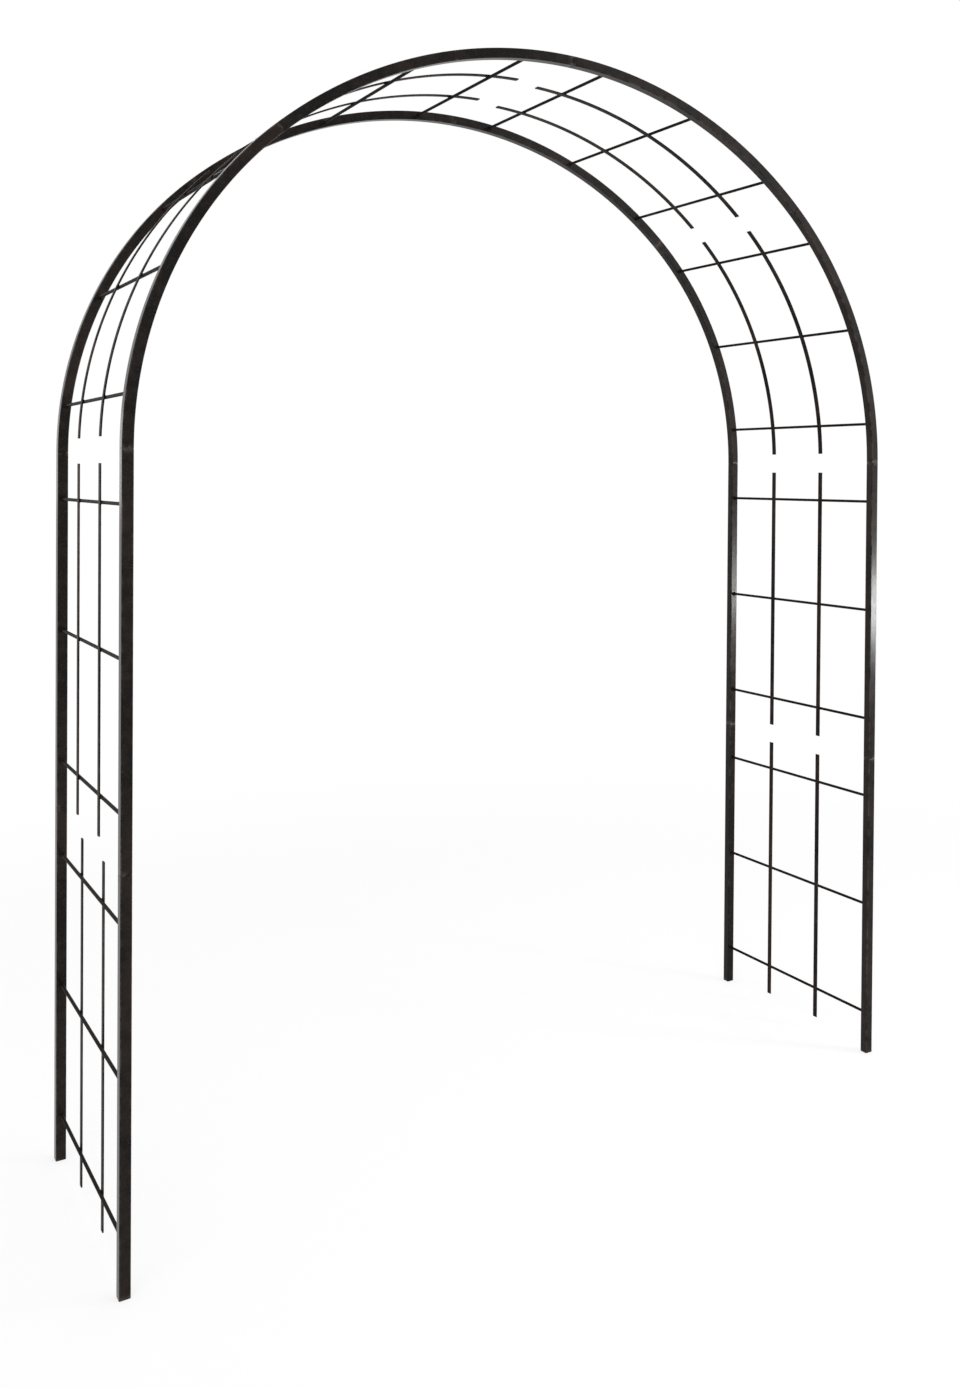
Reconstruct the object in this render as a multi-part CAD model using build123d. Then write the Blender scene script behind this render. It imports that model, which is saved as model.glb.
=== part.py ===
from build123d import *
import os
from collections import namedtuple
from math import cos, degrees, pi, radians, sin

# Metal trellis arch for a garden path, in millimetres.
# The frame follows one line in the XZ plane: up the right leg, over the arch and down the
# left leg. Every tube, rung, slat and spigot is placed by its distance along it.
# X is the width, Y the depth with the front at -Y, and Z is up. The origin lies on the
# ground, midway between the four feet.

# Driving dimensions of the whole arch
span = 1600.0               # between the centrelines of the right and left legs
depth = 495.0               # between the centrelines of the front and rear tubes
leg_panel_length = 662.0    # one straight panel
arch_rise = 745.0           # from the top of the legs to the crown, on the centreline
haunch_turn = 48.6          # degrees that each haunch panel is rolled through
joint_gap = 0.4             # left open between the tube ends of two panels

# Square side tubes
tube_size = 18.0
tube_wall = 1.2
tube_corner = 1.2           # how far each outer corner is eased along both sides

# Round rungs, welded between the side tubes
rung_diameter = 6.0
rung_end_distance = 87.0    # from a panel's end to its nearest rung

# Flat slats, welded across the rungs
slat_width = 12.0
slat_thickness = 2.5
slat_spacing = 165.0        # between the centrelines of a panel's two slats
slat_end_distance = 22.0    # from a panel's end to the end of its slats
weld_set_down = 0.3         # how deep each rung beds into a slat

# Spigots, the short inner tubes that join the panels
spigot_length = 80.0
spigot_wall = 1.2
spigot_clearance = 0.15     # all round, inside the side tubes

# Panels in order from the ground to the crown
leg_names = ("lower", "upper")
arch_names = ("haunch", "crown")
rung_names = ("lower", "middle", "upper")

# Side of the rungs that the slats lie on
facing_passage = -1
facing_outside = 1
slat_sides = {
    "right_lower": facing_passage,
    "right_upper": facing_passage,
    "right_haunch": facing_passage,
    "right_crown": facing_passage,
    "left_crown": facing_outside,
    "left_haunch": facing_outside,
    "left_upper": facing_outside,
    "left_lower": facing_passage,
}

# Arcs of the arch: the crown is rolled flatter than the haunches, and runs on from them without
# a kink, because the centres of two arcs that meet lie on one line with the point where they meet
half_span = span / 2
leg_height = leg_panel_length * len(leg_names)
haunch_angle = radians(haunch_turn)
crown_angle = pi / 2 - haunch_angle
centre_distance = (half_span - arch_rise) / (cos(haunch_angle) + sin(haunch_angle) - 1)
haunch_radius = half_span - centre_distance * cos(haunch_angle)
crown_radius = haunch_radius + centre_distance
haunch_length = haunch_radius * haunch_angle
crown_length = crown_radius * crown_angle
haunch_centre = half_span - haunch_radius
panel_lengths = {
    "lower": leg_panel_length,
    "upper": leg_panel_length,
    "haunch": haunch_length,
    "crown": crown_length,
}

# Runs of the line, by the distance where each starts and ends. A leg has no centre.
Run = namedtuple("Run", "start end centre radius angle")
haunch_end = leg_height + haunch_length
crown_end = haunch_end + 2 * crown_length
arch_end = crown_end + haunch_length
line_length = arch_end + leg_height
runs = (
    Run(0, leg_height, None, None, 0),
    Run(leg_height, haunch_end, Vector(haunch_centre, 0, leg_height), haunch_radius, 0),
    Run(haunch_end, crown_end, Vector(0, 0, leg_height + arch_rise - crown_radius), crown_radius, haunch_angle),
    Run(crown_end, arch_end, Vector(-haunch_centre, 0, leg_height), haunch_radius, pi - haunch_angle),
    Run(arch_end, line_length, None, None, pi),
)
rounding = 1e-6             # a stretch shorter than this comes only from rounding

# Other sizes that follow from the driving dimensions
rung_length = depth - tube_size
slat_offset = rung_diameter / 2 - weld_set_down + slat_thickness / 2
tube_bore = tube_size - 2 * tube_wall
spigot_size = tube_bore - 2 * spigot_clearance
spigot_bore = spigot_size - 2 * spigot_wall


def station(distance):
    """Plane square to the arch line: local X points out of the passage, local Y to the rear."""
    if distance <= leg_height:
        return Plane(origin=(half_span, 0, distance), x_dir=(1, 0, 0), z_dir=(0, 0, 1))
    if distance >= arch_end:
        return Plane(origin=(-half_span, 0, line_length - distance), x_dir=(-1, 0, 0), z_dir=(0, 0, -1))
    run = next(run for run in runs if distance <= run.end)
    angle = run.angle + (distance - run.start) / run.radius
    out = Vector(cos(angle), 0, sin(angle))
    along = Vector(-sin(angle), 0, cos(angle))
    return Plane(origin=run.centre + out * run.radius, x_dir=out, z_dir=along)


def bar(section, start, end):
    """Carry a section along the line: straight on the legs, turned about each arc's centre between."""
    pieces = []
    for run in runs:
        low = max(start, run.start)
        high = min(end, run.end)
        if high - low < rounding:
            continue
        face = station(low) * section
        if run.centre is None:
            pieces.append(extrude(face, amount=high - low))
        else:
            axis = Axis(run.centre, (0, -1, 0))
            turn = degrees((high - low) / run.radius)
            pieces.append(revolve(face, axis=axis, revolution_arc=turn))
    solid = pieces[0]
    for piece in pieces[1:]:
        solid = solid + piece
    return solid


def side_tube(y, start, end):
    """One tube of a panel, cut back by half the joint gap where another panel meets it."""
    outside = chamfer(Rectangle(tube_size, tube_size).vertices(), tube_corner)
    section = outside - Rectangle(tube_bore, tube_bore)
    low = start + joint_gap / 2 if start > rounding else start
    high = end - joint_gap / 2 if end < line_length - rounding else end
    return bar(Pos(0, y) * section, low, high)


def rung(distance):
    """Round bar from tube to tube."""
    return station(distance) * Rot(X=90) * Cylinder(rung_diameter / 2, rung_length)


def slat(y, start, end, side, rungs):
    """One flat bar on the given side of the rungs, with a shallow seat where it beds onto each."""
    section = Pos(side * slat_offset, y) * Rectangle(slat_thickness, slat_width)
    solid = bar(section, start + slat_end_distance, end - slat_end_distance)
    for crossing in rungs:
        solid = solid - crossing
    return solid


def panel(name, start, end):
    """The seven pieces of one panel, by node name."""
    first = start + rung_end_distance
    step = (end - start - 2 * rung_end_distance) / (len(rung_names) - 1)
    heights = rung_names if name.startswith("right") else rung_names[::-1]
    rungs = {f"{height}_rung": rung(first + number * step) for number, height in enumerate(heights)}
    pieces = {
        "front_tube": side_tube(-depth / 2, start, end),
        "rear_tube": side_tube(depth / 2, start, end),
        "front_slat": slat(-slat_spacing / 2, start, end, slat_sides[name], rungs.values()),
        "rear_slat": slat(slat_spacing / 2, start, end, slat_sides[name], rungs.values()),
    }
    pieces.update(rungs)
    return {f"{name}_{piece}": solid for piece, solid in pieces.items()}


def spigots(joints):
    """The inner tubes of some joints, one in each side tube."""
    section = Rectangle(spigot_size, spigot_size) - Rectangle(spigot_bore, spigot_bore)
    half = spigot_length / 2
    return [
        bar(Pos(0, y) * section, joint - half, joint + half).solid()
        for joint in joints
        for y in (-depth / 2, depth / 2)
    ]


# Panels along the line, from the right foot over the crown to the left foot
upward = leg_names + arch_names
order = [("right", name) for name in upward] + [("left", name) for name in reversed(upward)]
nodes = {}
ends = []
position = 0.0
for side, name in order:
    end = position + panel_lengths[name]
    nodes.update(panel(f"{side}_{name}", position, end))
    ends.append(end)
    position = end

# Spigots of each kind of joint, which lie at the ends of all panels but the last
joints = {"leg_spigots": [], "springing_spigots": [], "arch_spigots": []}
for end, (_, below), (_, above) in zip(ends, order, order[1:]):
    curved = (below in arch_names) + (above in arch_names)
    kind = ("leg_spigots", "springing_spigots", "arch_spigots")[curved]
    joints[kind].append(end)
for name, places in joints.items():
    nodes[name] = Compound(children=spigots(places))

os.makedirs("parts", exist_ok=True)
for name, solid in nodes.items():
    export_step(solid, f"parts/{name}.step")
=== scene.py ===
"""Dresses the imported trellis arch: coated tubes, rungs, slats and their welds, on a plain white stage.

All sizes are in metres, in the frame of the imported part: X across the passage, +Y from the front to
the rear, Z up, and the origin on the ground midway between the four feet. Most sizes are measured on
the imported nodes, so the dressing follows the part.
"""

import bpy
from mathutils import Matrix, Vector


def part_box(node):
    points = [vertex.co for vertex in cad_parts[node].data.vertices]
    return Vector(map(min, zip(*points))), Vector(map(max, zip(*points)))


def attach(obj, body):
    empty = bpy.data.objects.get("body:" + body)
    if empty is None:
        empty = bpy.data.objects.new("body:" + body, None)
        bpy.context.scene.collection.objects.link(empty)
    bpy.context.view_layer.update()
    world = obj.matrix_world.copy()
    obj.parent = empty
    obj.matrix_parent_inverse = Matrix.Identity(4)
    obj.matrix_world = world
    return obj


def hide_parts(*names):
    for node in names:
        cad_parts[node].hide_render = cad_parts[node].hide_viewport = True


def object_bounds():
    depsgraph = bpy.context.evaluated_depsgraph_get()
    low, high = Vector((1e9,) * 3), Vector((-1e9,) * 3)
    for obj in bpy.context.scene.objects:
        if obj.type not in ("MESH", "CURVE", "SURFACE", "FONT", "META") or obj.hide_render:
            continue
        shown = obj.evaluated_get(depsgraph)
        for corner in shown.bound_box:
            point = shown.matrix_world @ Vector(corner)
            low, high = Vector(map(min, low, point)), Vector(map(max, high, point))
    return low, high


bl_info = {
    "name": "Trellis Arch Dressing",
    "version": (1, 0, 0),
    "blender": (4, 5, 0),
    "location": "View3D > Sidebar > Arch",
    "description": "Coated tubes, rungs, slats and welds of a metal trellis arch, with its stage",
    "category": "Object",
}

import bpy
import numpy as np
from mathutils import Vector

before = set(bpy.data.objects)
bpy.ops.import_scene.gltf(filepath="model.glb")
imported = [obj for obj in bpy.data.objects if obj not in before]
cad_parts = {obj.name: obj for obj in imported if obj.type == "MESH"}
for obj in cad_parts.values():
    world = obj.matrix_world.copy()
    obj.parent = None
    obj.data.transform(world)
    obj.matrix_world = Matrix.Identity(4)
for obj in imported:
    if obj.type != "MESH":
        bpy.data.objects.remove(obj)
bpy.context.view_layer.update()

# The photograph's frame, and where its optical axis and focal length lie in it, in pixels
PHOTO_WIDTH = 960
PHOTO_HEIGHT = 1388
AXIS_COLUMN = 625.0
AXIS_ROW = 495.0
FOCAL_PIXELS = 1297.5
SENSOR = 36.0

# Panels along the arch line, from the right foot over the crown to the left foot
LEG_NAMES = ("lower", "upper")
ARCH_NAMES = ("haunch", "crown")
RUNG_NAMES = ("lower", "middle", "upper")
UPWARD = LEG_NAMES + ARCH_NAMES
ORDER = [f"right_{name}" for name in UPWARD] + [f"left_{name}" for name in reversed(UPWARD)]
SPIGOTS = ("leg_spigots", "springing_spigots", "arch_spigots")
BODY = "root"

# Fineness of the meshes, as points in a round stretch, sides round a bar and rings along it
CORNER_POINTS = 5
RIM_POINTS = 3
BORE_RING_STEPS = 3
RUNG_SIDES = 24
RUNG_RINGS = 22
FILLET_SIDES = 36
FILLET_ARC_POINTS = 7
TACK_SIDES = 12
TACK_RINGS = 13
CREASE = np.radians(50)

WELD_SEED = 7
WHITE = (1.0, 1.0, 1.0, 1.0)


def middle_and_extent(node):
    """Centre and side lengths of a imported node's box."""
    low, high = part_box(node)
    return (low + high) / 2, high - low


TUBE_MIDDLE, TUBE_EXTENT = middle_and_extent("right_lower_front_tube")
RUNG_MIDDLE, RUNG_EXTENT = middle_and_extent("right_lower_lower_rung")
SLAT_MIDDLE, SLAT_EXTENT = middle_and_extent("right_lower_front_slat")
JOINT_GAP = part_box("right_upper_front_tube")[0].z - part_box("right_lower_front_tube")[1].z
HALF_SPAN = TUBE_MIDDLE.x
HALF_DEPTH = -TUBE_MIDDLE.y
HALF_SLAT_SPACING = -SLAT_MIDDLE.y
RUNG_END = RUNG_MIDDLE.z
RUNG_REACH = RUNG_EXTENT.y / 2
SLAT_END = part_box("right_lower_front_slat")[0].z
SLAT_OFFSET = abs(SLAT_MIDDLE.x - TUBE_MIDDLE.x)

# Arcs of the arch: each haunch panel is rolled through this angle, and the crown flatter
HAUNCH_TURN = np.radians(48.6)
LEG_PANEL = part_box("right_lower_front_tube")[1].z + JOINT_GAP / 2
LEG_HEIGHT = LEG_PANEL * len(LEG_NAMES)
ARCH_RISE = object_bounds()[1].z - TUBE_EXTENT.y / 2 - LEG_HEIGHT
CENTRE_DISTANCE = (HALF_SPAN - ARCH_RISE) / (np.cos(HAUNCH_TURN) + np.sin(HAUNCH_TURN) - 1)
HAUNCH_RADIUS = HALF_SPAN - CENTRE_DISTANCE * np.cos(HAUNCH_TURN)
HAUNCH_CENTRE = HALF_SPAN - HAUNCH_RADIUS
CROWN_RADIUS = HAUNCH_RADIUS + CENTRE_DISTANCE
CROWN_CENTRE = LEG_HEIGHT + ARCH_RISE - CROWN_RADIUS
PANEL_LENGTHS = {
    "lower": LEG_PANEL,
    "upper": LEG_PANEL,
    "haunch": HAUNCH_RADIUS * HAUNCH_TURN,
    "crown": CROWN_RADIUS * (np.pi / 2 - HAUNCH_TURN),
}
LINE_LENGTH = 2 * sum(PANEL_LENGTHS.values())


class ArchSizes(bpy.types.PropertyGroup):
    """Sizes of the bars and of their welds."""

    tube_size: bpy.props.FloatProperty(
        name="Tube size", description="Side of the square tube", default=TUBE_EXTENT.y, unit="LENGTH")
    tube_wall: bpy.props.FloatProperty(
        name="Tube wall", description="Wall of the square tube", default=0.0012, unit="LENGTH")
    tube_corner: bpy.props.FloatProperty(
        name="Tube corner", description="Outer corner radius of the tube", default=0.0014, unit="LENGTH")
    rim_ease: bpy.props.FloatProperty(
        name="Rim ease", description="Rounding of a sawn tube end", default=0.0003, unit="LENGTH")
    rung_radius: bpy.props.FloatProperty(
        name="Rung radius", description="Radius of the round rungs", default=RUNG_EXTENT.z / 2,
        unit="LENGTH")
    slat_width: bpy.props.FloatProperty(
        name="Slat width", description="Width of the flat slats", default=SLAT_EXTENT.y, unit="LENGTH")
    slat_thickness: bpy.props.FloatProperty(
        name="Slat thickness", description="Thickness of the flat slats", default=SLAT_EXTENT.x,
        unit="LENGTH")
    slat_edge: bpy.props.FloatProperty(
        name="Slat edge", description="Edge radius of the rolled flat bar", default=0.0009, unit="LENGTH")
    weld_leg: bpy.props.FloatProperty(
        name="Weld leg", description="Reach of a fillet weld round a rung's end", default=0.0021,
        unit="LENGTH")
    tack_radius: bpy.props.FloatProperty(
        name="Tack radius", description="Radius of a tack between slat and rung", default=0.0010,
        unit="LENGTH")
    tack_length: bpy.props.FloatProperty(
        name="Tack length", description="Length of a tack between slat and rung", default=0.0094,
        unit="LENGTH")
    ring_step: bpy.props.FloatProperty(
        name="Ring step", description="Spacing of the rings along a bar", default=0.012, unit="LENGTH")
    worn_reach: bpy.props.FloatProperty(
        name="Worn reach", description="How far scuffs reach from a tube's end", default=0.02,
        unit="LENGTH")


class ArchColours(bpy.types.PropertyGroup):
    """Colours of the finishes, linear."""

    coat: bpy.props.FloatVectorProperty(
        name="Coat", description="Powder coat in its darker patches", subtype="COLOR",
        default=(0.0038, 0.0032, 0.0029))
    coat_warm: bpy.props.FloatVectorProperty(
        name="Warm coat", description="Powder coat in its browner patches", subtype="COLOR",
        default=(0.0185, 0.0128, 0.0106))
    # Lighter crests of the orange-peel skin: partly a random mottling of the coat's tone, partly a painted
    # highlight on the bumps
    speck_and_crest_highlight: bpy.props.FloatVectorProperty(
        name="Coat speck", description="Crests of the coat's orange-peel skin", subtype="COLOR",
        default=(0.0270, 0.0205, 0.0178))
    rubbed: bpy.props.FloatVectorProperty(
        name="Rubbed edge", description="Coat rubbed thin along corners and tube ends", subtype="COLOR",
        default=(0.070, 0.056, 0.048))
    zinc: bpy.props.FloatVectorProperty(
        name="Zinc", description="Bare zinc coat of the spigots", subtype="COLOR",
        default=(0.055, 0.055, 0.054))
    zinc_bright: bpy.props.FloatVectorProperty(
        name="Bright zinc", description="Brighter spangle of the zinc", subtype="COLOR",
        default=(0.095, 0.097, 0.097))
    floor: bpy.props.FloatVectorProperty(
        name="Floor", description="Pale studio floor", subtype="COLOR", default=(0.94, 0.94, 0.94))


class ArchStage(bpy.types.PropertyGroup):
    """Camera, lamps and floor."""

    camera_place: bpy.props.FloatVectorProperty(
        name="Camera", description="Where the camera stands", subtype="TRANSLATION",
        default=(-1.2872, -2.3438, 1.2816))
    camera_heading: bpy.props.FloatProperty(
        name="Heading", description="Turn of the view from +Y towards +X", subtype="ANGLE", default=0.5951)
    camera_pitch: bpy.props.FloatProperty(
        name="Pitch", description="Tilt of the view above the horizon", subtype="ANGLE", default=-0.0118)
    camera_roll: bpy.props.FloatProperty(
        name="Roll", description="Turn of the camera about its own view, clockwise from behind",
        subtype="ANGLE", default=-0.0082)
    ambient: bpy.props.FloatProperty(
        name="Ambient", description="Even light from all round", default=0.60)
    floor_size: bpy.props.FloatProperty(
        name="Floor size", description="Side of the floor", default=60.0, unit="LENGTH")
    floor_drop: bpy.props.FloatProperty(
        name="Floor drop", description="Hair's breadth of room under the feet", default=0.0002,
        unit="LENGTH")
    floor_glow: bpy.props.FloatProperty(
        name="Floor glow", description="Share of plain white in the floor as the camera sees it",
        default=0.75, subtype="FACTOR")
    floor_near: bpy.props.FloatProperty(
        name="Floor near", description="Distance where the floor starts to fade to white", default=1.3,
        unit="LENGTH")
    floor_far: bpy.props.FloatProperty(
        name="Floor far", description="Distance where the floor is plain white", default=3.2, unit="LENGTH")


# Lamps: name, place, point aimed at, width, height and power in watts
LAMPS = (
    ("key_softbox", (-3.4, -3.8, 4.6), (0.0, 0.0, 1.1), 5.0, 5.0, 130.0),
    ("fill_softbox", (4.0, -3.0, 2.6), (0.0, 0.0, 1.0), 4.0, 4.0, 60.0),
    ("top_softbox", (0.3, 0.6, 5.0), (0.0, 0.0, 0.0), 4.0, 4.0, 60.0),
    ("left_strip", (-1.30, 1.88, 1.37), (-0.81, -0.25, 1.32), 0.20, 0.36, 0.5),
    ("right_strip", (2.05, -1.51, 0.83), (0.80, -0.25, 1.00), 0.22, 0.20, 16.0),
)


def arch_line(distance):
    """Point and outward direction of the arch line, the same on both sides of the crown.

    From the foot the line runs straight up the leg, then turns by distance over radius: first about the
    haunch's centre, and past the haunch's turn about the crown's. Outward is the direction of the
    radius."""
    distance = np.asarray(distance, float)
    side = np.where(distance <= LINE_LENGTH / 2, 1.0, -1.0)
    run = np.minimum(distance, LINE_LENGTH - distance) - LEG_HEIGHT
    haunch = np.clip(run / HAUNCH_RADIUS, 0, HAUNCH_TURN)
    turn = haunch + np.maximum(run - PANEL_LENGTHS["haunch"], 0) / CROWN_RADIUS
    x = HAUNCH_CENTRE + HAUNCH_RADIUS * np.cos(haunch) + CROWN_RADIUS * (np.cos(turn) - np.cos(haunch))
    z = HAUNCH_RADIUS * np.sin(haunch) + CROWN_RADIUS * (np.sin(turn) - np.sin(haunch))
    return side * x, LEG_HEIGHT + np.minimum(run, 0) + z, side * np.cos(turn), np.sin(turn)


def carry(out, y, distance):
    """Points that stand off the arch line by out along its outward direction, at depth y."""
    x, z, out_x, out_z = arch_line(distance)
    return np.stack(np.broadcast_arrays(x + out * out_x, y, z + out * out_z), axis=-1)


def beside(place, out, y, rise):
    """Points about one place on the line: out along its outward direction, y in depth, rise along it."""
    x, z, out_x, out_z = arch_line(place)
    return np.stack(
        np.broadcast_arrays(x + out * out_x - rise * out_z, y, z + out * out_z + rise * out_x), axis=-1)


def panel_span(name):
    """Start and end of a panel along the arch line."""
    lengths = [PANEL_LENGTHS[panel.split("_")[1]] for panel in ORDER]
    index = ORDER.index(name)
    start = sum(lengths[:index])
    return start, start + lengths[index]


def rungs_of(name):
    """Name and distance along the line of each rung of a panel."""
    start, end = panel_span(name)
    heights = RUNG_NAMES if name.startswith("right") else RUNG_NAMES[::-1]
    places = np.linspace(start + RUNG_END, end - RUNG_END, len(heights))
    return zip(heights, places)


def slat_side(name):
    """1 if a panel's slats lie outside its rungs, -1 if they face the passage, read from the node."""
    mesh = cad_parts[f"{name}_front_slat"].data
    points = np.empty(len(mesh.vertices) * 3)
    mesh.vertices.foreach_get("co", points)
    x, _, z = points.reshape(-1, 3).T
    if name.endswith("crown"):
        reach = np.hypot(x, z - CROWN_CENTRE) - CROWN_RADIUS
    else:
        reach = np.hypot(np.abs(x) - HAUNCH_CENTRE, np.maximum(z - LEG_HEIGHT, 0)) - HAUNCH_RADIUS
    return 1 if reach.mean() > 0 else -1


def steps(start, end, step):
    """Even distances from start to end, about a step apart."""
    return np.linspace(start, end, int(np.ceil(abs(end - start) / step)) + 1)


def rounded_rectangle(width, height, corner, support=0.0004):
    """Closed outline of a rectangle with round corners, and a mask that is 1 on them.

    Each corner is a quarter circle about its centre, and one more point stands on the flat at each end
    of it, so that the flats stay flat to the eye."""
    angle = np.linspace(0, np.pi / 2, CORNER_POINTS)
    quarter = np.concatenate([
        [[corner, -support]],
        np.stack([np.cos(angle), np.sin(angle)], axis=1) * corner,
        [[-support, corner]],
    ])
    reach = np.array([width, height]) / 2 - corner
    centres = ((1, 1), (-1, 1), (-1, -1), (1, -1))
    turns = (np.eye(2), [[0, 1], [-1, 0]], -np.eye(2), [[0, -1], [1, 0]])
    outline = [quarter @ np.array(turn) + reach * centre for turn, centre in zip(turns, centres)]
    mask = np.concatenate([[0.0], np.ones(CORNER_POINTS), [0.0]])
    return np.concatenate(outline), np.tile(mask, len(outline))


def grid_faces(rows, columns, wrap_rows, first):
    """Quads of a grid that closes round its columns, and round its rows too where asked."""
    row = np.arange(rows if wrap_rows else rows - 1)[:, None]
    column = np.arange(columns)[None, :]
    next_row = (row + 1) % rows
    next_column = (column + 1) % columns
    corners = (
        row * columns + column,
        row * columns + next_column,
        next_row * columns + next_column,
        next_row * columns + column,
    )
    return np.stack(corners, axis=-1).reshape(-1, 4) + first


class Shell:
    """Gathers closed grids of points, with masks for the finish, into one piece."""

    def __init__(self):
        self.points = []
        self.faces = []
        self.masks = {"edge": [], "end": []}
        self.count = 0

    def add(self, points, edge=0.0, end=1.0, wrap_rows=False):
        """Adds a grid of rows by columns of points. Open rows get a flat face at each end."""
        rows, columns = points.shape[:2]
        self.faces += grid_faces(rows, columns, wrap_rows, self.count).tolist()
        if not wrap_rows:
            ring = np.arange(columns) + self.count
            self.faces.append(ring[::-1].tolist())
            self.faces.append((ring + (rows - 1) * columns).tolist())
        self.points.append(points.reshape(-1, 3))
        for name, value in (("edge", edge), ("end", end)):
            self.masks[name].append(np.broadcast_to(value, (rows, columns)).ravel())
        self.count += rows * columns

    def build(self, name, material, slot, *replaced):
        """Makes the piece, gives it its finish and lets it ride on the part in place of its nodes."""
        mesh = bpy.data.meshes.new(name)
        mesh.from_pydata(np.concatenate(self.points).tolist(), [], self.faces)
        for mask, values in self.masks.items():
            layer = mesh.attributes.new(mask, "FLOAT", "POINT")
            layer.data.foreach_set("value", np.concatenate(values).astype(np.float32))
        mesh.polygons.foreach_set("use_smooth", np.ones(len(mesh.polygons), bool))
        mesh.set_sharp_from_angle(angle=CREASE)
        mesh.materials.append(material)
        piece = bpy.data.objects.new(name, mesh)
        bpy.context.scene.collection.objects.link(piece)
        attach(piece, BODY)
        if replaced:
            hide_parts(*replaced)
        return piece


class Wire:
    """A shader socket: arithmetic on it adds Math nodes to its board."""

    def __init__(self, board, socket):
        self.board = board
        self.socket = socket

    def __add__(self, other):
        return self.board.math("ADD", self, other)

    def __radd__(self, other):
        return self.board.math("ADD", other, self)

    def __sub__(self, other):
        return self.board.math("SUBTRACT", self, other)

    def __rsub__(self, other):
        return self.board.math("SUBTRACT", other, self)

    def __mul__(self, other):
        return self.board.math("MULTIPLY", self, other)

    def __rmul__(self, other):
        return self.board.math("MULTIPLY", other, self)


class Board:
    """A node tree that is being wired."""

    def __init__(self, tree):
        self.tree = tree
        tree.nodes.clear()

    def node(self, kind, settings=None, inputs=None, output=0):
        """Adds a node: its settings first, then the values or wires of its sockets. Gives one output."""
        made = self.tree.nodes.new(kind)
        for key, value in (settings or {}).items():
            setattr(made, key, value)
        for key, value in (inputs or {}).items():
            if isinstance(value, Wire):
                self.tree.links.new(value.socket, made.inputs[key])
            else:
                made.inputs[key].default_value = value
        return Wire(self, made.outputs[output]) if len(made.outputs) else None

    def math(self, operation, first, second):
        """One Math node."""
        return self.node("ShaderNodeMath", {"operation": operation}, {0: first, 1: second})

    def band(self, value, low, high):
        """0 below low, 1 above high and smooth between."""
        return self.node(
            "ShaderNodeMapRange", {"interpolation_type": "SMOOTHSTEP"},
            {"Value": value, "From Min": low, "From Max": high})

    def mix(self, factor, first, second):
        """One colour turning into another."""
        return self.node(
            "ShaderNodeMix", {"data_type": "RGBA"}, {0: factor, 6: first, 7: second}, output=2)

    def noise(self, place, scale, detail, roughness):
        """Cloudy noise about 0.5, with its scale in features per metre."""
        return self.node(
            "ShaderNodeTexNoise", None,
            {"Vector": place, "Scale": scale, "Detail": detail, "Roughness": roughness})

    def attribute(self, name):
        """A mask stored on the mesh."""
        return self.node("ShaderNodeAttribute", {"attribute_name": name}, output="Fac")

    def seen_directly(self):
        """1 for rays from the camera, a glossy surface or a clear one, 0 for rays that light things."""
        seen = self.node("ShaderNodeLightPath", output="Is Camera Ray")
        for ray in ("Is Glossy Ray", "Is Transmission Ray"):
            seen = self.math("MAXIMUM", seen, self.node("ShaderNodeLightPath", output=ray))
        return seen


def rgba(colour):
    """A colour with full alpha."""
    return (*colour, 1.0)


def new_board(name):
    """A fresh material and the board of its nodes."""
    material = bpy.data.materials.new(name)
    material.use_nodes = True
    return material, Board(material.node_tree)


def powder_coat(name, warmth, peel, rub, gloss, matt):
    """Semi-gloss brown-black powder coat.

    Browner clouds drift over the dark coat, corners and tube ends are rubbed thin, and an orange-peel
    skin a few millimetres across breaks up the gloss and mottles the colour, its crests lighter as a
    painted highlight. Warmth is the share of
    brown in the clouds, peel the depth of the skin, rub the wear of corners and ends, gloss the level of
    the reflections, and matt the roughness of the smoothest spots."""
    colours = bpy.context.scene.arch_colours
    material, board = new_board(name)
    place = board.node("ShaderNodeTexCoord", output="Object")
    cloud = board.noise(place, scale=6.0, detail=6.0, roughness=0.62)
    smear = board.noise(place, scale=55.0, detail=4.0, roughness=0.6)
    skin = board.noise(place, scale=320.0, detail=3.0, roughness=0.6)
    brown = board.band(cloud * 0.6 + smear * 0.4, 0.38, 0.66) * warmth
    worn_corner = board.attribute("edge") * board.band(smear + cloud, 0.92, 1.24)
    worn_end = board.band(1.0 - board.attribute("end"), 0.55, 1.0) * board.band(smear, 0.46, 0.62)
    worn = board.math("MAXIMUM", worn_corner, worn_end) * rub
    colour = board.mix(brown, rgba(colours.coat), rgba(colours.coat_warm))
    # Painted highlight: the skin's crests are made lighter, on top of a random mottling of the coat's tone
    colour = board.mix(board.band(skin, 0.50, 0.72) * 0.6, colour, rgba(colours.speck_and_crest_highlight))
    colour = board.mix(worn, colour, rgba(colours.rubbed))
    roughness = matt + smear * 0.10 + cloud * 0.08 + skin * 0.05 + worn * 0.10
    bump = board.node(
        "ShaderNodeBump", None,
        {"Height": skin + smear * 0.5, "Strength": peel, "Distance": 0.0004}, output="Normal")
    shader = board.node(
        "ShaderNodeBsdfPrincipled", None,
        {"Base Color": colour, "Roughness": roughness, "Normal": bump, "Specular IOR Level": gloss})
    board.node("ShaderNodeOutputMaterial", None, {"Surface": shader})
    return material


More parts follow.
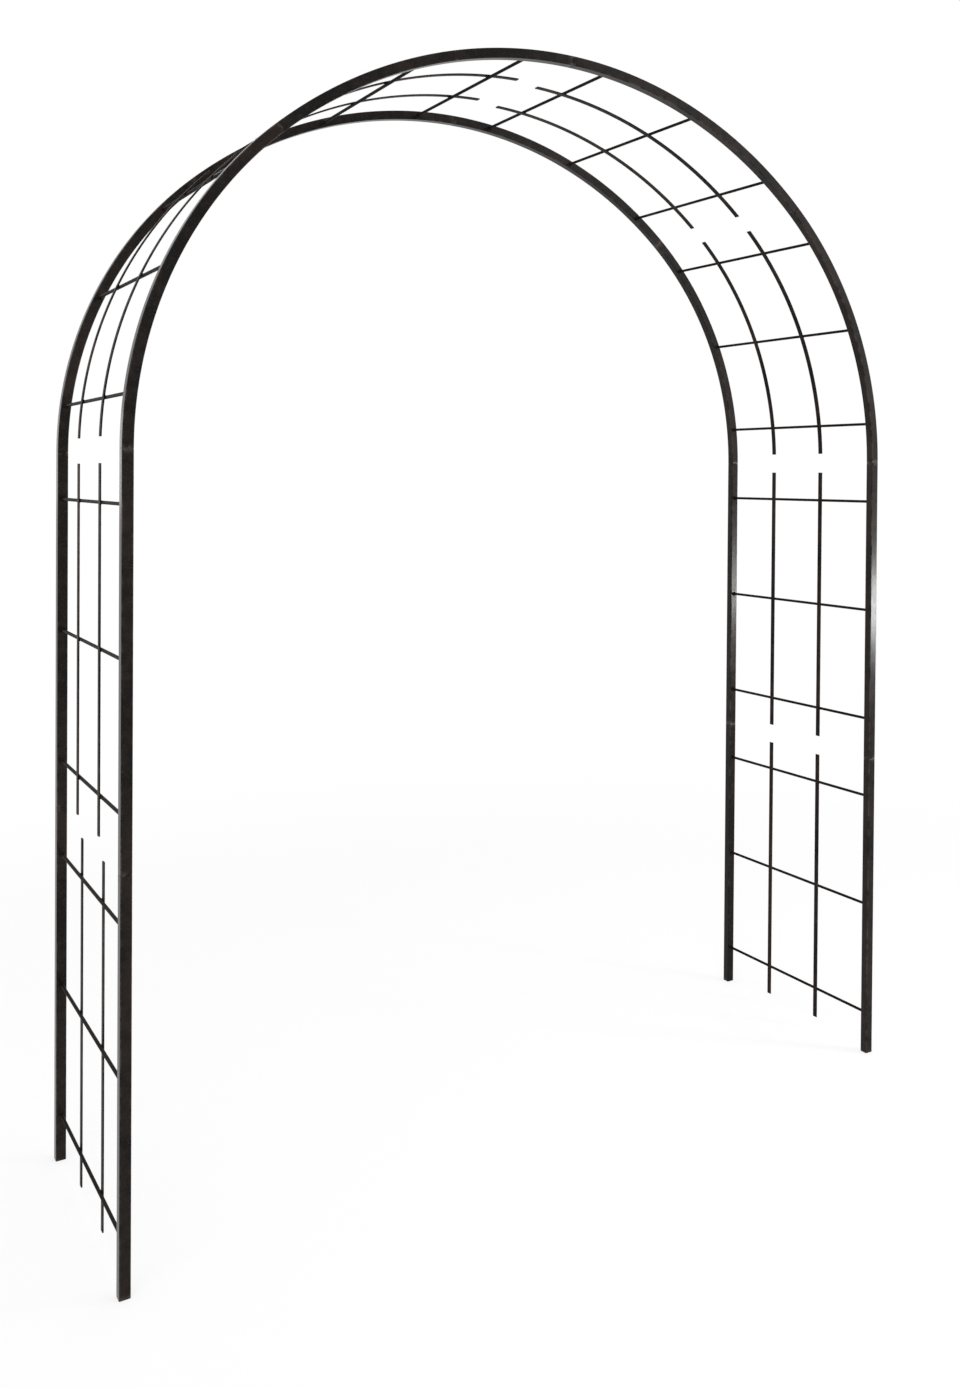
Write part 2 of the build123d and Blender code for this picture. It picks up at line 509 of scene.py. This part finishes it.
def zinc_steel(name):
    """Bare zinc-coated steel of the spigots: a grey spangle with duller patches."""
    colours = bpy.context.scene.arch_colours
    material, board = new_board(name)
    place = board.node("ShaderNodeTexCoord", output="Object")
    spangle = board.noise(place, scale=240.0, detail=3.0, roughness=0.5)
    dull = board.noise(place, scale=30.0, detail=4.0, roughness=0.6)
    colour = board.mix(board.band(spangle, 0.35, 0.65), rgba(colours.zinc), rgba(colours.zinc_bright))
    bump = board.node(
        "ShaderNodeBump", None, {"Height": spangle, "Strength": 0.1, "Distance": 0.0003}, output="Normal")
    shader = board.node(
        "ShaderNodeBsdfPrincipled", None,
        {"Base Color": colour, "Metallic": 1.0, "Roughness": 0.45 + dull * 0.25, "Normal": bump})
    board.node("ShaderNodeOutputMaterial", None, {"Surface": shader})
    return material


def white_floor(name):
    """Pale floor that keeps the arch's shadow: mostly plain white to the camera, wholly so far from the
    arch, and a diffuser to the light."""
    stage = bpy.context.scene.arch_stage
    material, board = new_board(name)
    place = board.node("ShaderNodeTexCoord", output="Object")
    grain = board.noise(place, scale=3.0, detail=4.0, roughness=0.5)
    pale = rgba(bpy.context.scene.arch_colours.floor)
    colour = board.mix(grain * 0.1, pale, WHITE)
    matt = board.node("ShaderNodeBsdfDiffuse", None, {"Color": colour})
    glow = board.node("ShaderNodeEmission", None, {"Color": WHITE, "Strength": 1.0})
    distance = board.node("ShaderNodeVectorMath", {"operation": "LENGTH"}, {0: place}, output="Value")
    far = board.band(distance, stage.floor_near, stage.floor_far)
    share = stage.floor_glow + (1.0 - stage.floor_glow) * far
    shader = board.node("ShaderNodeMixShader", None, {0: board.seen_directly() * share, 1: matt, 2: glow})
    board.node("ShaderNodeOutputMaterial", None, {"Surface": shader})
    return material


class ARCH_OT_tubes(bpy.types.Operator):
    """Square side tubes, open at their sawn ends"""

    bl_idname = "arch.tubes"
    bl_label = "Side tubes"

    def tube(self, y, start, end):
        """Closed skin of one tube: the outline of its section carried along the outer wall, over the
        eased rim, back along the bore and over the other rim, at a depth under the outer wall."""
        sizes = bpy.context.scene.arch_sizes
        ease = sizes.rim_ease
        low = start + JOINT_GAP / 2 if start > 0 else start
        high = end - JOINT_GAP / 2 if end < LINE_LENGTH - JOINT_GAP else end
        outer = steps(low + ease, high - ease, sizes.ring_step)
        bore = steps(high, low, sizes.ring_step * BORE_RING_STEPS)
        turn = np.linspace(0, np.pi / 2, RIM_POINTS + 1)[1:]
        rise = ease * np.sin(turn)
        inset = ease * (1 - np.cos(turn))
        distance = np.concatenate([outer, high - ease + rise, bore, (low + ease - rise)[::-1]])
        depth = np.concatenate([0 * outer, inset, 0 * bore + sizes.tube_wall, inset[::-1]])
        outline, corners = rounded_rectangle(sizes.tube_size, sizes.tube_size, sizes.tube_corner)
        side = sizes.tube_size / 2
        ring = outline[None] * (1 - depth / side)[:, None, None]
        points = carry(ring[..., 0], ring[..., 1] + y, distance[:, None])
        edge = corners[None, :] * (depth < ease)[:, None]
        near = np.minimum(distance - low, high - distance) / sizes.worn_reach
        return points, edge, np.clip(near, 0, 1)[:, None]

    def execute(self, context):
        coat = powder_coat("tube_coat", warmth=1.0, peel=0.12, rub=0.75, gloss=0.11, matt=0.10)
        for name in ORDER:
            for face, y in (("front", -HALF_DEPTH), ("rear", HALF_DEPTH)):
                shell = Shell()
                shell.add(*self.tube(y, *panel_span(name)), wrap_rows=True)
                node = f"{name}_{face}_tube"
                shell.build(f"coated_{node}", coat, "tube_coat", node)
        return {"FINISHED"}


class ARCH_OT_rungs(bpy.types.Operator):
    """Round rungs between the side tubes"""

    bl_idname = "arch.rungs"
    bl_label = "Rungs"

    def execute(self, context):
        sizes = context.scene.arch_sizes
        coat = powder_coat("rung_coat", warmth=0.6, peel=0.12, rub=0.5, gloss=0.03, matt=0.38)
        angle = np.linspace(0, 2 * np.pi, RUNG_SIDES, endpoint=False)[None, :]
        y = np.linspace(-RUNG_REACH, RUNG_REACH, RUNG_RINGS)[:, None]
        out = sizes.rung_radius * np.cos(angle)
        rise = -sizes.rung_radius * np.sin(angle)
        for name in ORDER:
            for height, place in rungs_of(name):
                shell = Shell()
                shell.add(beside(place, out, y, rise))
                node = f"{name}_{height}_rung"
                shell.build(f"coated_{node}", coat, "rung_coat", node)
        return {"FINISHED"}


class ARCH_OT_slats(bpy.types.Operator):
    """Flat slats across the rungs"""

    bl_idname = "arch.slats"
    bl_label = "Slats"

    def execute(self, context):
        sizes = context.scene.arch_sizes
        coat = powder_coat("slat_coat", warmth=1.5, peel=0.12, rub=0.6, gloss=0.05, matt=0.34)
        outline, corners = rounded_rectangle(sizes.slat_thickness, sizes.slat_width, sizes.slat_edge)
        for name in ORDER:
            start, end = panel_span(name)
            distance = steps(start + SLAT_END, end - SLAT_END, sizes.ring_step)[:, None]
            out = outline[None, :, 0] + slat_side(name) * SLAT_OFFSET
            for face, y in (("front", -HALF_SLAT_SPACING), ("rear", HALF_SLAT_SPACING)):
                shell = Shell()
                shell.add(carry(out, outline[None, :, 1] + y, distance), corners[None, :])
                node = f"{name}_{face}_slat"
                shell.build(f"coated_{node}", coat, "slat_coat", node)
        return {"FINISHED"}


class ARCH_OT_welds(bpy.types.Operator):
    """Fillet welds round the rungs' ends, and tacks between slats and rungs"""

    bl_idname = "arch.welds"
    bl_label = "Welds"

    def fillet(self, place, end, random):
        """Bead round a rung's end: a quarter ellipse from the rung to the tube's face, turned about the
        rung. Its reach swells and ripples with the angle by a few sines, and it closes inside the metal."""
        sizes = bpy.context.scene.arch_sizes
        angle = np.linspace(0, 2 * np.pi, FILLET_SIDES, endpoint=False)[None, :]
        phase = random.uniform(0, 2 * np.pi, 4)
        swell = 0.14 * np.sin(angle + phase[0]) + 0.10 * np.sin(2 * angle + phase[1])
        ripple = 0.06 * np.sin(9 * angle + phase[2]) + 0.04 * np.sin(13 * angle + phase[3])
        reach = sizes.weld_leg * (1 + swell + ripple)
        sweep = np.linspace(0, np.pi / 2, FILLET_ARC_POINTS)
        inside_along_tube = (0.6, -0.3, -0.3)
        inside_along_rung = (-0.12, -0.12, 0.6)
        along_tube = np.concatenate([np.sin(sweep), inside_along_tube])[:, None]
        along_rung = np.concatenate([np.cos(sweep), inside_along_rung])[:, None]
        radius = sizes.rung_radius + reach * along_tube
        y = end * (RUNG_REACH - reach * along_rung)
        return beside(place, radius * np.cos(angle), y, -end * radius * np.sin(angle))

    def tack(self, place, y, side, way, random):
        """Short bead in the corner between a slat and a rung: circles along the rung, whose radius runs
        out towards both ends as a flattened half ellipse, cut just short of its tips. The bead's axis
        stands less than its radius off the slat, and just inside the rung's side."""
        sizes = bpy.context.scene.arch_sizes
        cut = 0.985
        off_slat = 0.8 * sizes.tack_radius
        angle = np.linspace(0, 2 * np.pi, TACK_SIDES, endpoint=False)[None, :]
        share = np.linspace(-cut, cut, TACK_RINGS)[:, None]
        ripple = 1 + 0.08 * np.sin(11 * share + random.uniform(0, 2 * np.pi))
        radius = sizes.tack_radius * (1 - share ** 2) ** 0.35 * ripple
        corner = side * (SLAT_OFFSET - sizes.slat_thickness / 2 - off_slat)
        lift = way * 0.92 * sizes.rung_radius
        shift = random.uniform(-0.08, 0.08) * sizes.tack_length
        along = y + shift + share * sizes.tack_length / 2
        return beside(place, corner + radius * np.cos(angle), along, lift - radius * np.sin(angle))

    def execute(self, context):
        coat = powder_coat("weld_coat", warmth=0.9, peel=0.35, rub=0.6, gloss=0.05, matt=0.38)
        random = np.random.default_rng(WELD_SEED)
        for name in ORDER:
            fillets = Shell()
            tacks = Shell()
            side = slat_side(name)
            for _, place in rungs_of(name):
                for end in (-1, 1):
                    fillets.add(self.fillet(place, end, random), wrap_rows=True)
                for y in (-HALF_SLAT_SPACING, HALF_SLAT_SPACING):
                    for way in (-1, 1):
                        tacks.add(self.tack(place, y, side, way, random))
            fillets.build(f"{name}_rung_welds", coat, "rung_coat")
            tacks.build(f"{name}_slat_tacks", coat, "slat_coat")
        return {"FINISHED"}


class ARCH_OT_spigots(bpy.types.Operator):
    """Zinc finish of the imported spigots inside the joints"""

    bl_idname = "arch.spigots"
    bl_label = "Spigots"

    def execute(self, context):
        zinc = zinc_steel("spigot_steel")
        for node in SPIGOTS:
            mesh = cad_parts[node].data
            mesh.materials.clear()
            mesh.materials.append(zinc)
        return {"FINISHED"}


class ARCH_OT_stage(bpy.types.Operator):
    """White floor and backdrop, soft lamps and the camera"""

    bl_idname = "arch.stage"
    bl_label = "Stage"

    def floor(self, stage):
        """Wide square floor, a hair's breadth under the feet."""
        half = stage.floor_size / 2
        corners = [(x * half, y * half, -stage.floor_drop) for x, y in ((-1, -1), (1, -1), (1, 1), (-1, 1))]
        mesh = bpy.data.meshes.new("floor")
        mesh.from_pydata(corners, [], [(0, 1, 2, 3)])
        mesh.materials.append(white_floor("floor_white"))
        floor = bpy.data.objects.new("floor", mesh)
        bpy.context.scene.collection.objects.link(floor)

    def backdrop(self, scene, stage):
        """Plain white to the camera and in reflections, an even grey light to everything else."""
        scene.world = bpy.data.worlds.new("studio")
        scene.world.use_nodes = True
        board = Board(scene.world.node_tree)
        light = board.node("ShaderNodeBackground", None, {"Color": WHITE, "Strength": stage.ambient})
        plain = board.node("ShaderNodeBackground", None, {"Color": WHITE, "Strength": 1.0})
        shader = board.node("ShaderNodeMixShader", None, {0: board.seen_directly(), 1: light, 2: plain})
        board.node("ShaderNodeOutputWorld", None, {"Surface": shader})

    def lamp(self, name, place, target, width, height, power):
        """Rectangular lamp aimed at a point, and hidden from the camera."""
        data = bpy.data.lights.new(name, "AREA")
        data.shape = "RECTANGLE"
        data.size = width
        data.size_y = height
        data.energy = power
        lamp = bpy.data.objects.new(name, data)
        lamp.location = place
        lamp.rotation_euler = (Vector(target) - Vector(place)).to_track_quat("-Z", "Y").to_euler()
        lamp.visible_camera = False
        bpy.context.scene.collection.objects.link(lamp)

    def camera(self, scene, stage):
        """Camera of the photograph, nearly level, whose frame is a crop beside the optical axis. In an
        upright frame the sensor's width lies along the height."""
        data = bpy.data.cameras.new("camera")
        data.sensor_width = SENSOR
        data.lens = SENSOR * FOCAL_PIXELS / PHOTO_HEIGHT
        data.shift_x = (PHOTO_WIDTH / 2 - AXIS_COLUMN) / PHOTO_HEIGHT
        data.shift_y = (AXIS_ROW - PHOTO_HEIGHT / 2) / PHOTO_HEIGHT
        camera = bpy.data.objects.new("camera", data)
        camera.location = stage.camera_place
        camera.rotation_euler = (np.pi / 2 + stage.camera_pitch, stage.camera_roll, -stage.camera_heading)
        scene.collection.objects.link(camera)
        scene.camera = camera

    def execute(self, context):
        scene = context.scene
        stage = scene.arch_stage
        scene.view_settings.view_transform = "Standard"
        self.floor(stage)
        self.backdrop(scene, stage)
        for lamp in LAMPS:
            self.lamp(*lamp)
        self.camera(scene, stage)
        return {"FINISHED"}


OPERATORS = (ARCH_OT_tubes, ARCH_OT_rungs, ARCH_OT_slats, ARCH_OT_welds, ARCH_OT_spigots, ARCH_OT_stage)


class ARCH_PT_dressing(bpy.types.Panel):
    """Lists the arch's groups of pieces and their sizes"""

    bl_idname = "ARCH_PT_dressing"
    bl_label = "Trellis Arch"
    bl_space_type = "VIEW_3D"
    bl_region_type = "UI"
    bl_category = "Arch"

    def draw(self, context):
        for operator in OPERATORS:
            self.layout.operator(operator.bl_idname)
        for group in ("arch_sizes", "arch_colours", "arch_stage"):
            values = getattr(context.scene, group)
            box = self.layout.box()
            for key in values.__annotations__:
                box.prop(values, key)


CLASSES = (ArchSizes, ArchColours, ArchStage, *OPERATORS, ARCH_PT_dressing)


def register():
    """Registers the classes and hangs the settings on the scene."""
    for cls in CLASSES:
        bpy.utils.register_class(cls)
    bpy.types.Scene.arch_sizes = bpy.props.PointerProperty(type=ArchSizes)
    bpy.types.Scene.arch_colours = bpy.props.PointerProperty(type=ArchColours)
    bpy.types.Scene.arch_stage = bpy.props.PointerProperty(type=ArchStage)


def unregister():
    """Undoes register."""
    del bpy.types.Scene.arch_stage
    del bpy.types.Scene.arch_colours
    del bpy.types.Scene.arch_sizes
    for cls in reversed(CLASSES):
        bpy.utils.unregister_class(cls)


def main():
    """Builds the dressing and the stage."""
    register()
    bpy.ops.arch.tubes()
    bpy.ops.arch.rungs()
    bpy.ops.arch.slats()
    bpy.ops.arch.welds()
    bpy.ops.arch.spigots()
    bpy.ops.arch.stage()


if __name__ == "__main__":
    main()
